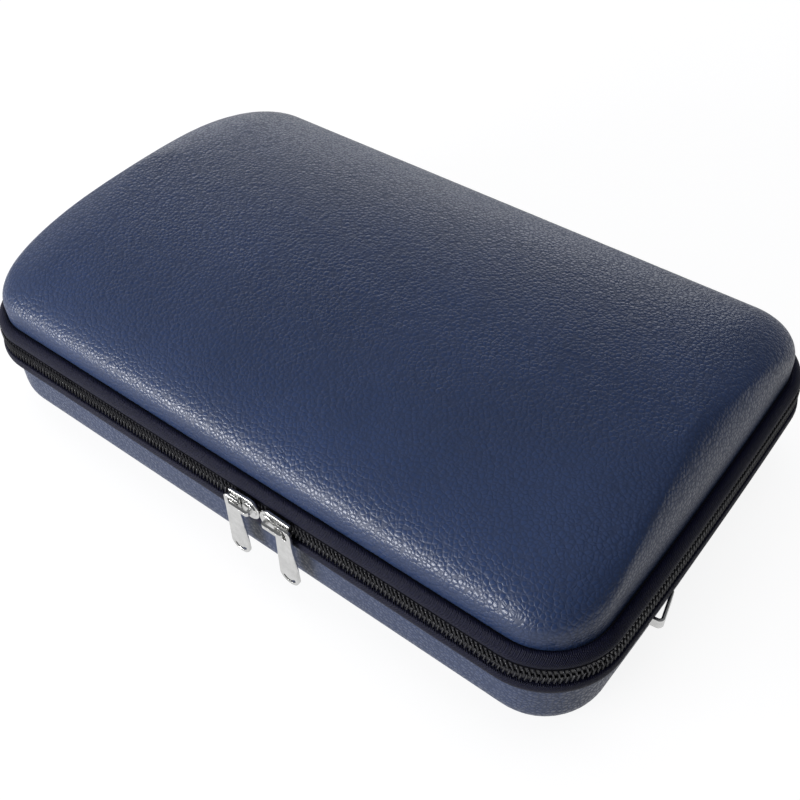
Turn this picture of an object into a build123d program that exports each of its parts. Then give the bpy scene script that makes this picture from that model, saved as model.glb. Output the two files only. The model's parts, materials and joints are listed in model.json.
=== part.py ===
"""Zipped clarinet case: two moulded foam shells under grained leather, closed by a coil zipper.

X runs along the front edge, -Y is the front (zipper pulls), +Y the fabric hinge, +Z up.
The origin is the middle of the flat underside that the case rests on. All sizes are millimetres.

Many pieces follow the plan outline of the rim. An outset is the distance outside that outline
(negative is inside), and a height marked "above the seam" is counted from the zipper's centre line.
"""

import math
import os

from build123d import *

# Plan outline of the rim
case_length = 324.0
case_width = 203.6
corner_radius = 30.5
end_bow = 1.6

# Heights
seam_height = 44.3
shell_edge_drop = 5.2

# Base shell
base_inset = 2.6
base_edge_radius = 15.7

# Lid shell: a straight strip, then an arch across the width whose ends roll over
lid_inset = 4.7
lid_wall_height = 16.4
lid_crown = 24.2
lid_end_lean = 14.0
lid_end_fullness = 2.2
lid_ring_angles = (0, 15, 30, 44, 57, 69, 79, 86)
lid_ring_fill = 0.85

# Layers of both shells
skin_thickness = 0.8
shell_thickness = 3.0
lining_thickness = 1.2
bond_gap = 0.05
tray_gap = 0.3
deck_drop = 2.0

# Zipper chain, tapes and rim bands
chain_half_width = 3.65
coil_split = 0.6
coil_back = -1.8
coil_face = 1.1
coil_bevel = 0.45
tape_thickness = 0.6
tape_reach = 8.8
tape_straight = 4.6
lid_tape_reach = 9.3
band_start = 4.75
base_band_end = 8.9
base_band_face = 1.45
base_band_bulge = 1.9
base_band_round = 0.9
lid_band_end = 10.7
lid_band_face = 0.3
lid_band_round = 0.3
lid_band_lip = 0.8
binding_height = 1.1
binding_width = 2.5

# Hinge at the back
hinge_half_length = 98.0
hinge_gap = 0.5
hinge_lining_thickness = 0.6
stop_length = 3.0
stop_rise = 0.25

# Sliders, head to head on the front run
sliders_meet_x = 21.8
slider_gap = 0.3
slider_length = 16.0
slider_nose_radius = 5.4
slider_tail_half_width = 4.7
slider_notch = 1.6
plate_inner = 1.7
plate_thickness = 1.3
plate_round = 0.45
flange_thickness = 0.8
flange_clearance = 0.15
back_plate_thickness = 0.9
slider_clearance = 0.1
post_half_width = 0.45
post_start = 1.6
post_length = 3.6
bail_height = 3.2
bail_thickness = 1.2
bail_width = 2.0
bail_inner_leg = 4.2
bail_leg_length = 1.4
pivot_from_nose = 13.4

# Pulls
pull_length = 35.2
pull_thickness = 1.4
pull_lift = 0.3
pull_tip_width = 10.0
pull_neck_width = 8.0
pull_head_width = 8.2
pull_window_width = 4.2
pull_window_below = 2.6
pull_window_above = 1.35
pull_bar = 1.5
pull_slot_width = 1.4
pull_slot_from_tip = 2.1
pull_slot_half_angle = 62.0
pull_round = 0.4
pull_dish_depth = 0.3
pull_rim = 1.1

# Strap loops on the end walls: deeper at the front leg than at the back leg
loop_y = -37.5
loop_below_seam = 14.5
loop_span = 20.0
loop_front_rise = 7.6
loop_back_rise = 4.2
loop_lean = 0.7
loop_back_run = 4.5
loop_foot = 1.0
loop_thickness = 1.5
loop_height = 5.0
loop_corner_radius = 2.3
loop_hole_clearance = 0.1
loop_plate_margin = 3.0
loop_plate_thickness = 1.0

# Instrument recesses, the same in both halves: rows set in from the walls, and the middle row's start
row_start = 22.0
front_row_wall = 21.8
back_row_wall = 14.3
joint_width = 42.0
upper_joint_length = 235.0
lower_joint_length = 257.0
mouthpiece_start = 12.0
mouthpiece_length = 102.0
mouthpiece_width = 36.0
middle_row_y = 2.0
barrel_radius = 19.0
barrel_start = 144.0
bell_start = 170.0
bell_length = 108.0
bell_throat_radius = 17.0
bell_mouth_radius = 38.6
joint_depth_base = 28.0
joint_depth_lid = 17.0
lower_joint_depth_lid = 14.0
mouthpiece_depth_base = 25.0
mouthpiece_depth_lid = 14.0
barrel_depth = 33.0
key_well_start = 27.0
key_well_length = 159.0
key_well_depth_lid = 25.0
key_well_margin = 5.0
lower_well_shift = 2.0
lower_wells = ((22.0, 56.0), (92.0, 66.0), (172.0, 66.0))
cross_slot_start = 2.0
cross_slot_width = 18.0
cross_slot_length = 63.0
cross_slot_shift = 2.5
recess_radius = 7.0
recess_floor_radius = 4.0
mouth_overrun = 4.0

half_width = case_width / 2
tape_outer = coil_back - bond_gap * 2
tape_inner = tape_outer - tape_thickness
inner_layers = skin_thickness + shell_thickness + 2 * bond_gap
tray_inset = inner_layers + tray_gap
base_deck = seam_height - deck_drop
lid_deck = seam_height + deck_drop
row_x = row_start - case_length / 2
front_row_y = front_row_wall + joint_width / 2 - half_width
back_row_y = half_width - back_row_wall - joint_width / 2
barrel_x = row_x + barrel_start
bell_x = row_x + bell_start


def plan(inset_side, inset_end, radius):
    """Plan outline, inset from its sides and its ends, with rounded corners and bowed ends."""
    x = case_length / 2 - inset_end
    y = half_width - inset_side
    sides = [
        Line((-x, -y), (x, -y)),
        ThreePointArc((x, -y), (x + end_bow, 0), (x, y)),
        Line((x, y), (-x, y)),
        ThreePointArc((-x, y), (-x - end_bow, 0), (-x, -y)),
    ]
    face = make_face(sides)
    return fillet(face.vertices(), radius)


def outline(outset, height):
    """Wire of the plan outline at an outset, at a height above the seam."""
    face = Pos(0, 0, seam_height + height) * plan(-outset, -outset, corner_radius + outset)
    return face.face().outer_wire()


def stack(points):
    """Solid through the outlines at (outset, height) pairs, from low to high."""
    return Solid.make_loft([outline(outset, height) for outset, height in points], ruled=True)


def ring(outer, inner):
    """Ring round the case, between an outer and an inner side given as (outset, height) pairs."""
    first = (inner[0][0], inner[0][1] - 1)
    last = (inner[-1][0], inner[-1][1] + 1)
    return stack(outer) - stack([first, *inner, last])


def back_box(half_length):
    """Box round the middle of the back edge."""
    return Pos(0, half_width, seam_height) * Box(2 * half_length, 60, 60)


def base_form(inset, top):
    """Everything inside the base's outer surface moved in by inset, up to a height."""
    walls = base_inset + inset
    block = extrude(plan(walls, walls, corner_radius - walls), amount=top - inset)
    block = Pos(0, 0, inset) * block
    return fillet(block.faces().sort_by(Axis.Z)[0].edges(), base_edge_radius - inset)


def lid_ring(angle, inset):
    """Wire of the lid's outer surface at one level of its arch, moved in by inset."""
    arch = half_width - lid_inset
    cosine, sine = math.cos(math.radians(angle)), math.sin(math.radians(angle))
    slope = math.hypot(lid_crown * cosine, arch * sine)
    side = arch * cosine - inset * lid_crown * cosine / slope
    roll = 1 - (1 - sine**lid_end_fullness) ** (1 / lid_end_fullness)
    end = lid_inset + lid_end_lean * roll + inset
    height = lid_wall_height + lid_crown * sine - inset * arch * sine / slope
    radius = min(corner_radius - lid_inset - inset, lid_ring_fill * side)
    face = plan(half_width - side, end, radius)
    return (Pos(0, 0, seam_height + height) * face).face().outer_wire()


def lid_form(inset, bottom):
    """Everything inside the lid's outer surface moved in by inset, from a height up."""
    walls = lid_inset + inset
    strip = extrude(plan(walls, walls, corner_radius - walls), amount=seam_height + lid_wall_height - bottom)
    arch = Solid.make_loft([lid_ring(angle, inset) for angle in lid_ring_angles])
    return Pos(0, 0, bottom) * strip + arch


def make_layers(form, edge, beyond):
    """Leather skin and foam shell between nested copies of one form."""
    shell_outer = skin_thickness + bond_gap
    skin = form(0, edge) - form(skin_thickness, beyond)
    shell = form(shell_outer, edge) - form(shell_outer + shell_thickness, beyond)
    return skin, shell


def pocket(x, y, width, deck, depth, grow):
    """Rounded recess cut from a deck: a positive depth goes down, a negative one up."""
    length = x[1] - x[0] + 2 * grow
    floor = deck - depth - math.copysign(grow, depth)
    mouth = deck + math.copysign(mouth_overrun, depth)
    face = RectangleRounded(length, width + 2 * grow, recess_radius + grow - 0.01)
    block = extrude(face, amount=abs(mouth - floor))
    block = Pos((x[0] + x[1]) / 2, y, min(mouth, floor)) * block
    ends = block.faces().sort_by(Axis.Z)
    floor_face = ends[0] if depth > 0 else ends[-1]
    return fillet(floor_face.edges(), recess_floor_radius + grow)


def joint_pocket(start, length, y, width, deck, depth, grow):
    """Recess whose length runs along the case, from a distance after the start of the rows."""
    return pocket((row_x + start, row_x + start + length), y, width, deck, depth, grow)


def barrel_pocket(deck, depth, grow):
    """Round well that holds the barrel upright."""
    height = abs(depth) + mouth_overrun + grow
    middle = deck - math.copysign(height / 2 - mouth_overrun, depth)
    well = Pos(barrel_x, middle_row_y, middle) * Cylinder(barrel_radius + grow, height)
    return well


def bell_pocket(grow):
    """Cone that the bell lies in, half in the base and half in the lid."""
    throat, mouth = bell_throat_radius + grow, bell_mouth_radius + grow
    end_x = bell_x + bell_length
    cone = Pos((bell_x + end_x) / 2, 0, 0) * Cone(throat, mouth, bell_length, rotation=(0, 90, 0))
    ends = Pos(bell_x - grow / 2, 0, 0) * Cylinder(throat, max(grow, 0.5), rotation=(0, 90, 0))
    ends += Pos(end_x + grow / 2, 0, 0) * Cylinder(mouth, max(grow, 0.5), rotation=(0, 90, 0))
    return Pos(0, middle_row_y, seam_height) * (cone + ends)


def straight_pockets(deck, joint_depth, lower_depth, mouthpiece_depth, grow):
    """Recesses of the two joints and the mouthpiece in one half."""
    cuts = joint_pocket(0, upper_joint_length, front_row_y, joint_width, deck, joint_depth, grow)
    cuts += joint_pocket(0, lower_joint_length, back_row_y, joint_width, deck, lower_depth, grow)
    return cuts + joint_pocket(
        mouthpiece_start, mouthpiece_length, middle_row_y, mouthpiece_width, deck, mouthpiece_depth, grow
    )


def base_pockets(grow):
    """All recesses of the base."""
    cuts = straight_pockets(base_deck, joint_depth_base, joint_depth_base, mouthpiece_depth_base, grow)
    cuts += barrel_pocket(base_deck, barrel_depth, grow)
    return cuts + bell_pocket(grow)


def lid_pockets(grow):
    """All recesses of the lid, with deeper wells over the keys."""
    cuts = straight_pockets(
        lid_deck, -joint_depth_lid, -lower_joint_depth_lid, -mouthpiece_depth_lid, grow
    )
    key_width = joint_width - 2 * key_well_margin
    cuts += joint_pocket(
        key_well_start, key_well_length, front_row_y, key_width, lid_deck, -key_well_depth_lid, grow
    )
    cuts += joint_pocket(
        cross_slot_start,
        cross_slot_width,
        middle_row_y - cross_slot_shift,
        cross_slot_length,
        lid_deck,
        -joint_depth_lid,
        grow,
    )
    for start, length in lower_wells:
        y = back_row_y - lower_well_shift
        cuts += joint_pocket(start, length, y, key_width, lid_deck, -joint_depth_lid, grow)
    cuts += barrel_pocket(lid_deck, -barrel_depth, grow)
    return cuts + bell_pocket(grow)


def make_base_inserts():
    """Foam block that fills the base shell, and the plush lining over its recesses."""
    block = base_form(tray_inset, base_deck)
    sheet = Pos(0, 0, base_deck) * Box(2 * case_length, 2 * case_width, 2 * lining_thickness)
    lining = block & (sheet + base_pockets(lining_thickness))
    lining -= base_pockets(0)
    lining -= loop_plate_space()
    foam_top = base_deck - lining_thickness - bond_gap
    foam = base_form(tray_inset, foam_top) - base_pockets(lining_thickness + bond_gap)
    return foam - loop_plate_space(), lining


def make_lid_inserts():
    """Foam block that fills the lid shell, and the plush lining over its recesses."""
    block = lid_form(tray_inset, lid_deck)
    sheet = Pos(0, 0, lid_deck) * Box(2 * case_length, 2 * case_width, 2 * lining_thickness)
    lining = block & (sheet + lid_pockets(lining_thickness))
    lining -= lid_pockets(0)
    foam_bottom = lid_deck + lining_thickness + bond_gap
    foam = lid_form(tray_inset, foam_bottom) - lid_pockets(lining_thickness + bond_gap)
    return foam, lining


def make_base_band():
    """Padded rim band below the zipper, with a rounded lower lip."""
    outer = [
        (base_band_bulge - base_band_round, -base_band_end),
        (base_band_bulge, base_band_round - base_band_end),
        (base_band_face, -band_start),
    ]
    face = tape_outer + bond_gap
    return ring(outer, [(face, -base_band_end), (face, -band_start)])


def make_lid_band():
    """Wide rim band that slopes from the zipper up to the lid's leather."""
    skin_face = -lid_inset + bond_gap
    outer = [
        (lid_band_face - lid_band_round, band_start),
        (lid_band_face, band_start + lid_band_round),
        (skin_face + lid_band_lip, lid_band_end),
    ]
    slant_foot = tape_outer + bond_gap
    slant_head = skin_face + tape_thickness + bond_gap
    inner = [
        (slant_foot, band_start),
        (slant_head, lid_tape_reach),
        (skin_face, lid_tape_reach + 2 * bond_gap),
        (skin_face, lid_band_end),
    ]
    return ring(outer, inner)


def tape_sides(low, high):
    """Outer and inner side of the zipper tape between two heights above the seam."""
    outer = [(tape_outer, low)]
    inner = [(tape_inner, low)]
    if high > tape_straight:
        outer.append((tape_outer, tape_straight))
        inner.append((tape_inner, tape_straight - tape_thickness / 3))
        outer.append((-lid_inset + 2 * bond_gap + tape_thickness, high))
        inner.append((-lid_inset + 2 * bond_gap, high))
    else:
        outer.append((tape_outer, high))
        inner.append((tape_inner, high))
    return outer, inner


def make_tapes():
    """Woven tapes of the zipper, open at the back where the hinge strip is."""
    gap = back_box(hinge_half_length + hinge_gap)
    base = ring(*tape_sides(-tape_reach, -coil_split)) - gap
    lid = ring(*tape_sides(coil_split, lid_tape_reach)) - gap
    return base, lid


def make_coil(side):
    """One half of the coil chain: side is 1 for the lid's half and -1 for the base's."""
    near, far = coil_split, chain_half_width
    outer = [
        (coil_face - coil_bevel, near),
        (coil_face, near + coil_bevel),
        (coil_face, far - coil_bevel),
        (coil_face - coil_bevel, far),
    ]
    inner = [(coil_back, near), (coil_back, far)]
    if side < 0:
        outer = [(outset, -height) for outset, height in reversed(outer)]
        inner = [(outset, -height) for outset, height in reversed(inner)]
    return ring(outer, inner) - back_box(hinge_half_length + hinge_gap + stop_length + bond_gap)


def make_chain_stops():
    """Two metal stops that end the base's coil beside the hinge strip."""
    far = chain_half_width + stop_rise
    stops = ring(
        [(coil_face + stop_rise, -far), (coil_face + stop_rise, -coil_split)],
        [(coil_back, -far), (coil_back, -coil_split)],
    )
    stops &= back_box(hinge_half_length + hinge_gap + stop_length)
    return stops - back_box(hinge_half_length + hinge_gap)


def make_hinge_strip():
    """Fabric strip that takes the zipper's place along the back and bends as the hinge."""
    return ring(*tape_sides(-tape_reach, lid_tape_reach)) & back_box(hinge_half_length)


def make_hinge_lining():
    """Inner strip behind the hinge, between the two edge bindings."""
    outer = binding_outer(base_inset) - binding_width / 2
    reach = shell_edge_drop - binding_height - 2 * bond_gap
    strip = ring(
        [(outer, -reach), (outer, reach)],
        [(outer - hinge_lining_thickness, -reach), (outer - hinge_lining_thickness, reach)],
    )
    return strip & back_box(hinge_half_length)


def binding_outer(inset):
    """Outset of an edge binding's outer side, which lies inside the skin of its shell."""
    return binding_width - inset - inner_layers


def make_edge_binding(inset, side):
    """Cloth tape that covers the raw edge of a foam shell."""
    outer = binding_outer(inset)
    inner = outer - binding_width
    heights = sorted((side * (shell_edge_drop - bond_gap), side * (shell_edge_drop - binding_height)))
    return ring([(outer, heights[0]), (outer, heights[1])], [(inner, heights[0]), (inner, heights[1])])


def front_block(x, outset, height):
    """Box on the zipper's front run from (low, high) ranges of x, outset and height."""
    size = [high - low for low, high in (x, outset, height)]
    middle = [(low + high) / 2 for low, high in (x, outset, height)]
    return Pos(middle[0], -half_width - middle[1], seam_height + middle[2]) * Box(*size)


def front_prism(sketch, outset, thickness):
    """Sketch drawn in x and height, extruded outwards from an outset on the front run."""
    face = Plane(origin=(0, -half_width - outset, seam_height), x_dir=(1, 0, 0), z_dir=(0, -1, 0))
    return extrude(face * sketch, amount=thickness)


def make_slider():
    """Slider with its nose at x = 0 and its tail towards +X."""
    nose = Pos(slider_nose_radius, 0) * Circle(slider_nose_radius)
    tail = Polygon(
        (slider_nose_radius, -slider_nose_radius),
        (slider_length, -slider_tail_half_width),
        (slider_length - slider_notch, 0),
        (slider_length, slider_tail_half_width),
        (slider_nose_radius, slider_nose_radius),
        align=None,
    )
    plate = front_prism(nose + tail, plate_inner, plate_thickness)
    plate = fillet(plate.faces().sort_by(Axis.Y)[0].edges(), plate_round)
    flange_top = -chain_half_width - flange_clearance
    flange = front_block(
        (slider_nose_radius, slider_length - slider_notch),
        (tape_outer + slider_clearance, plate_inner + plate_round),
        (flange_top - flange_thickness, flange_top),
    )
    back_outset = tape_inner - slider_clearance
    post = front_block(
        (post_start, post_start + post_length),
        (back_outset - back_plate_thickness / 2, plate_inner + plate_round),
        (-post_half_width, post_half_width),
    )
    back_half_width = tape_straight - tape_thickness / 3 - slider_clearance
    back = front_prism(nose + tail, back_outset - back_plate_thickness, back_plate_thickness)
    back &= front_block(
        (0, slider_length),
        (back_outset - 2 * back_plate_thickness, back_outset + 1),
        (-back_half_width, back_half_width),
    )
    return plate + flange + post + back + make_bail()


def make_bail():
    """Arched bridge on the slider's plate that the pull hangs from."""
    face = plate_inner + plate_thickness
    start = bail_inner_leg - bail_leg_length / 2
    end = pivot_from_nose + bail_leg_length / 2
    leg_bottom = face - plate_round
    top = face + bail_height
    block = front_block((start, end), (leg_bottom, top), (-bail_width / 2, bail_width / 2))
    tunnel = front_block(
        (start + bail_leg_length, end - bail_leg_length),
        (leg_bottom - 1, top - bail_thickness),
        (-bail_width, bail_width),
    )
    upright = block.edges().filter_by(Axis.Z).group_by(Axis.Y)[0]
    return fillet(upright, bail_thickness) - tunnel


def make_pull():
    """Flat pull that hangs from the bail's outer leg, with a window at its head."""
    top = pull_window_above + pull_bar
    bottom = top - pull_length
    tip_y = bottom + pull_tip_width / 2
    half_head, half_neck, half_tip = pull_head_width / 2, pull_neck_width / 2, pull_tip_width / 2
    neck_y = -pull_window_below - pull_bar
    body = Polygon(
        (-half_head, top),
        (-half_head, -pull_window_below),
        (-half_neck, neck_y),
        (-half_tip, tip_y),
        (half_tip, tip_y),
        (half_neck, neck_y),
        (half_head, -pull_window_below),
        (half_head, top),
        align=None,
    )
    shape = fillet(body.vertices().group_by(Axis.Y)[-1], half_head * 0.45)
    shape += Pos(0, tip_y) * Circle(half_tip)
    window_height = pull_window_above + pull_window_below
    window_middle = (pull_window_above - pull_window_below) / 2
    shape -= Pos(0, window_middle) * RectangleRounded(pull_window_width, window_height, 0.8)
    slot_radius = half_tip - pull_slot_from_tip
    slot_arc = CenterArc((0, tip_y), slot_radius, 270 - pull_slot_half_angle, 2 * pull_slot_half_angle)
    shape -= SlotArc(slot_arc, pull_slot_width)
    face = plate_inner + plate_thickness + pull_lift
    blank = front_prism(Pos(pivot_from_nose, 0) * shape, face, pull_thickness)
    dish_height = neck_y - pull_rim - tip_y
    dish = Polygon(
        (-half_neck + pull_rim, neck_y - pull_rim),
        (half_neck - pull_rim, neck_y - pull_rim),
        (half_tip - pull_rim - 0.3, neck_y - pull_rim - dish_height),
        (0.3 + pull_rim - half_tip, neck_y - pull_rim - dish_height),
        align=None,
    )
    dish = fillet(dish.vertices(), pull_round)
    dish_face = face + pull_thickness - pull_dish_depth
    return blank - front_prism(Pos(pivot_from_nose, 0) * dish, dish_face, pull_thickness)


def place_on_chain(piece, side):
    """A slider's piece put on the front run: side 1 is the right slider, -1 its mirror image."""
    if side < 0:
        piece = mirror(piece, about=Plane.YZ)
    return Pos(sliders_meet_x + side * slider_gap / 2, 0, 0) * piece


def wall_x(y, outset):
    """X of the end wall at a y, for the outline at an outset."""
    reach = half_width + outset
    sagitta_radius = (reach**2 + end_bow**2) / (2 * end_bow)
    drop = sagitta_radius - math.sqrt(sagitta_radius**2 - y**2)
    return case_length / 2 + outset + end_bow - drop


def loop_box(low, high, span, height):
    """Box on the right end wall between two distances outside the base's leather."""
    face = wall_x(loop_y, -base_inset)
    middle = (face + (low + high) / 2, loop_y, seam_height - loop_below_seam)
    return Pos(*middle) * Box(high - low, span, height)


def make_loop():
    """Arched metal loop whose legs pass through the end wall to a plate inside."""
    foot = -inner_layers - loop_plate_thickness
    front, back = -loop_span / 2, loop_span / 2
    corners = [
        (foot, front),
        (loop_foot, front),
        (loop_front_rise, front + loop_lean),
        (loop_back_rise, back - loop_back_run),
        (loop_foot, back),
        (foot, back),
    ]
    outline_face = make_face(Polyline(*corners, close=True))
    bends = outline_face.vertices().sort_by(Axis.X)[-2:]
    outline_face = fillet(bends, loop_corner_radius)
    hole = offset(outline_face, -loop_thickness)
    hole += Pos(foot, 0) * Rectangle(3 * loop_thickness, loop_span - 2 * loop_thickness)
    arch = extrude(outline_face - hole, amount=loop_height)
    return Pos(wall_x(loop_y, -base_inset), loop_y, seam_height - loop_below_seam - loop_height / 2) * arch


def loop_leg_holes():
    """Slots for the loop's two legs, cut through everything that they pass."""
    leg = (loop_thickness + 2 * loop_hole_clearance, loop_height + 2 * loop_hole_clearance)
    middle = (loop_span - loop_thickness) / 2
    slot = loop_box(-inner_layers - 2 * loop_plate_thickness, loop_plate_thickness, leg[0], leg[1])
    return Pos(0, middle, 0) * slot + Pos(0, -middle, 0) * slot


def both_ends(piece):
    """A piece of the right end wall and its mirror image at the left end."""
    return piece + mirror(piece, about=Plane.YZ)


def loop_plate_space():
    """Room in the foam block for the two backing plates."""
    inner = -inner_layers - loop_plate_thickness - tray_gap
    span = loop_span + 2 * loop_plate_margin + 2 * tray_gap
    height = loop_height + 2 * loop_plate_margin + 2 * tray_gap
    return both_ends(loop_box(inner, 0, span, height))


def make_loop_plate():
    """Steel plate behind the wall that the loop's legs are riveted into."""
    span = loop_span + 2 * loop_plate_margin
    height = loop_height + 2 * loop_plate_margin
    inner = -inner_layers - loop_plate_thickness
    plate = loop_box(inner, tray_gap - inner_layers, span, height)
    room = base_form(inner_layers + bond_gap, seam_height)
    return (plate & room) - loop_leg_holes()


def build():
    """Every piece of the case by its name."""
    base_edge = seam_height - shell_edge_drop
    lid_edge = seam_height + shell_edge_drop
    base_skin, base_shell = make_layers(base_form, base_edge, base_edge + 1)
    lid_skin, lid_shell = make_layers(lid_form, lid_edge, lid_edge - 1)
    base_foam, base_lining = make_base_inserts()
    lid_foam, lid_lining = make_lid_inserts()
    base_tape, lid_tape = make_tapes()
    slider, pull = make_slider(), make_pull()
    loop, plate = make_loop(), make_loop_plate()
    leg_holes = both_ends(loop_leg_holes())
    return {
        "base_skin": base_skin - leg_holes,
        "base_shell": base_shell - leg_holes,
        "base_foam": base_foam,
        "base_lining": base_lining,
        "base_band": make_base_band(),
        "base_tape": base_tape,
        "base_coil": make_coil(-1),
        "base_edge_binding": make_edge_binding(base_inset, -1),
        "chain_stops": make_chain_stops(),
        "strap_loop_right": loop,
        "strap_loop_left": mirror(loop, about=Plane.YZ),
        "loop_plate_right": plate,
        "loop_plate_left": mirror(plate, about=Plane.YZ),
        "lid_skin": lid_skin,
        "lid_shell": lid_shell,
        "lid_foam": lid_foam,
        "lid_lining": lid_lining,
        "lid_band": make_lid_band(),
        "lid_tape": lid_tape,
        "lid_coil": make_coil(1),
        "lid_edge_binding": make_edge_binding(lid_inset, 1),
        "hinge_strip": make_hinge_strip(),
        "hinge_lining": make_hinge_lining(),
        "slider_right": place_on_chain(slider, 1),
        "slider_left": place_on_chain(slider, -1),
        "pull_right": place_on_chain(pull, 1),
        "pull_left": place_on_chain(pull, -1),
    }


os.makedirs("parts", exist_ok=True)
for name, piece in build().items():
    export_step(piece, f"parts/{name}.step")
    print(name, len(piece.solids()), round(piece.volume))
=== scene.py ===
"""Zipped clarinet case: leather, rim trim, coil zipper, sliders, strap loops and plush.

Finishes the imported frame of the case: each operator makes one piece or one group of pieces."""

import json
import math

import bpy
from mathutils import Matrix, Vector

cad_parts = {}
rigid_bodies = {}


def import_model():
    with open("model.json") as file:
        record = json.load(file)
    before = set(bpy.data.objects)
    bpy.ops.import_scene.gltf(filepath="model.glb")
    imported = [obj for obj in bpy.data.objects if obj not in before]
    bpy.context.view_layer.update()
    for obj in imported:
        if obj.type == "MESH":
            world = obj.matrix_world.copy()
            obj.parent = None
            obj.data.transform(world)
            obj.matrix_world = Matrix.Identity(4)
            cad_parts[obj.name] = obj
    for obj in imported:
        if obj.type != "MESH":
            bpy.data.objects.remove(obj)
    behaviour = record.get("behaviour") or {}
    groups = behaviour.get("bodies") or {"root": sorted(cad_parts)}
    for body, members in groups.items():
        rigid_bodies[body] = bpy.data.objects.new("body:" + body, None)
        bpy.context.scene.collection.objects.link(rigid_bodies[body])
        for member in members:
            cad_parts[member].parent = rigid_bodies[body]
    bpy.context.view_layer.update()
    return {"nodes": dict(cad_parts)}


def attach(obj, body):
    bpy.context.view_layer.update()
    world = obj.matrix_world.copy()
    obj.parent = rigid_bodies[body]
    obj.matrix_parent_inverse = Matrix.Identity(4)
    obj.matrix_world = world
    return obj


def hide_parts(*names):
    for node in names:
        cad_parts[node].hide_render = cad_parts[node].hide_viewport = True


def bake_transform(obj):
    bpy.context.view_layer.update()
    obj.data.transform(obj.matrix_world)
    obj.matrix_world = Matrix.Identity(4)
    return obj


bl_info = {
    "name": "Zipped Clarinet Case",
    "version": (1, 0, 0),
    "blender": (4, 5, 0),
    "location": "View3D > Sidebar > Clarinet Case",
    "description": "Finishes a zipped clarinet case around its packed frame",
    "category": "Object",
}

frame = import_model()
MM = 0.001

# The plan outline of the rim and the seam between the halves, as the frame has them
OUTLINE_LENGTH = 0.324
OUTLINE_WIDTH = 0.2036
OUTLINE_RADIUS = 0.0305
OUTLINE_BOW = 0.0016
SEAM_HEIGHT = 0.0443
CHAIN_END_X = 0.1015
SLIDERS_MEET_X = 0.0218
SLIDER_FACE_OUTSET = 0.003

# The sliders' round heads, with a rim round a shallow dish
HEAD_BEHIND_NOSE = 0.0049
HEAD_RADIUS = 0.0046
HEAD_RIM = 0.0011
HEAD_HEIGHT = 0.0016
HEAD_SIDES = 64

# One turn of the coil: a short rod across the tape, wider along the chain, leaning like a thread
TURN_RADIUS = 0.0005
TURN_LENGTH = 0.0039
TURN_ROUNDING = 0.00024
TURN_WIDENING = 1.6
TURN_LEAN = 14.0
TURN_OUTSET = 0.0003
TURN_HEIGHT = 0.0016

# How smooth an outline is drawn, and how far the smooth shading goes
OUTLINE_STEP = 0.0005
CORNER_STEPS = 96
SWEEP_STEP = 0.003
FLAT_ANGLE = 1.0

# Cross-sections of the rim bands and the coil's core, as (outset, height above the seam) in
# millimetres, each followed by the rounding of its corners
LOWER_BAND = [(-1.8, -4.75), (1.35, -4.75), (1.95, -6.9), (1.5, -9.0), (-1.8, -9.0)]
LOWER_BAND_ROUNDING = [0.1, 0.5, 1.6, 0.7, 0.1]
UPPER_BAND = [
    (-1.75, 4.75),
    (0.3, 4.75),
    (0.45, 7.3),
    (-1.9, 9.9),
    (-3.8, 9.9),
    (-4.62, 8.7),
    (-4.0, 8.3),
]
UPPER_BAND_ROUNDING = [0.1, 0.6, 2.4, 2.2, 1.1, 0.1, 0.1]
COIL_CORE = [(-1.75, 0.65), (0.1, 0.65), (0.1, 3.5), (-1.75, 3.5)]
COIL_CORE_ROUNDING = 0.2

# The hinge cloth: how far each layer is cut into bands above and below the seam, and how many
# bands
HINGE_REACH = (("hinge_strip", 0.0042), ("hinge_lining", 0.0036))
HINGE_BANDS = 8

# Foam colours (dark, for the painted shade in the cell pits, and light) and the size of a cell
SOFT_FOAM = ("Soft foam", (0.02, 0.02, 0.024), (0.05, 0.05, 0.056), 0.0012)
MOULDED_FOAM = ("Moulded foam", (0.012, 0.012, 0.014), (0.03, 0.03, 0.034), 0.0007)

# Lamps: name, place, target, (width, height), watts, colour, seen in reflections
WHITE = (1.0, 1.0, 1.0)
CASE_MIDDLE = (0, 0, 0.06)
LAMPS = (
    ("window", (-0.85, 1.2, 0.33), CASE_MIDDLE, (1.5, 0.4), 5.2, (0.98, 0.99, 1.0), True),
    ("side", (-1.15, 0.35, 0.5), CASE_MIDDLE, (0.8, 0.4), 1.6, WHITE, True),
    ("front", (-0.38, -0.98, 0.27), (0.02, -0.09, 0.06), (0.8, 0.2), 15, WHITE, True),
    ("room", (-1.1, -0.7, 0.95), CASE_MIDDLE, (1.2, 1.0), 1.4, WHITE, True),
    ("sky", (0.0, 0.2, 1.75), (0, 0, 0.05), (1.6, 1.2), 16, WHITE, False),
)

# The floor's glow, as the camera and as reflections see it, and the light of the room
FLOOR_GLOW_SEEN = 0.88
FLOOR_GLOW_REFLECTED = 0.70
ROOM_COLOUR = (0.92, 0.95, 1.0, 1)
ROOM_STRENGTH = 0.17

# The camera's picture, moved a little on its sensor
CAMERA_SENSOR = 36
CAMERA_SHIFT = (-0.0056, -0.0265)
CAMERA_CLIP = (0.01, 20)


# ---------------------------------------------------------------- settings


class LeatherSettings(bpy.types.PropertyGroup):
    colour: bpy.props.FloatVectorProperty(
        name="Colour",
        description="Colour of the coated leather",
        subtype="COLOR",
        size=3,
        min=0,
        max=1,
        default=(0.0132, 0.0265, 0.074),
    )
    grain_size: bpy.props.FloatProperty(
        name="Grain size",
        description="Width of one pebble of the grain",
        subtype="DISTANCE",
        unit="LENGTH",
        default=0.0018,
    )
    grain_depth: bpy.props.FloatProperty(
        name="Grain depth",
        description="Depth of the creases between the pebbles",
        subtype="DISTANCE",
        unit="LENGTH",
        default=0.0002,
    )


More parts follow.
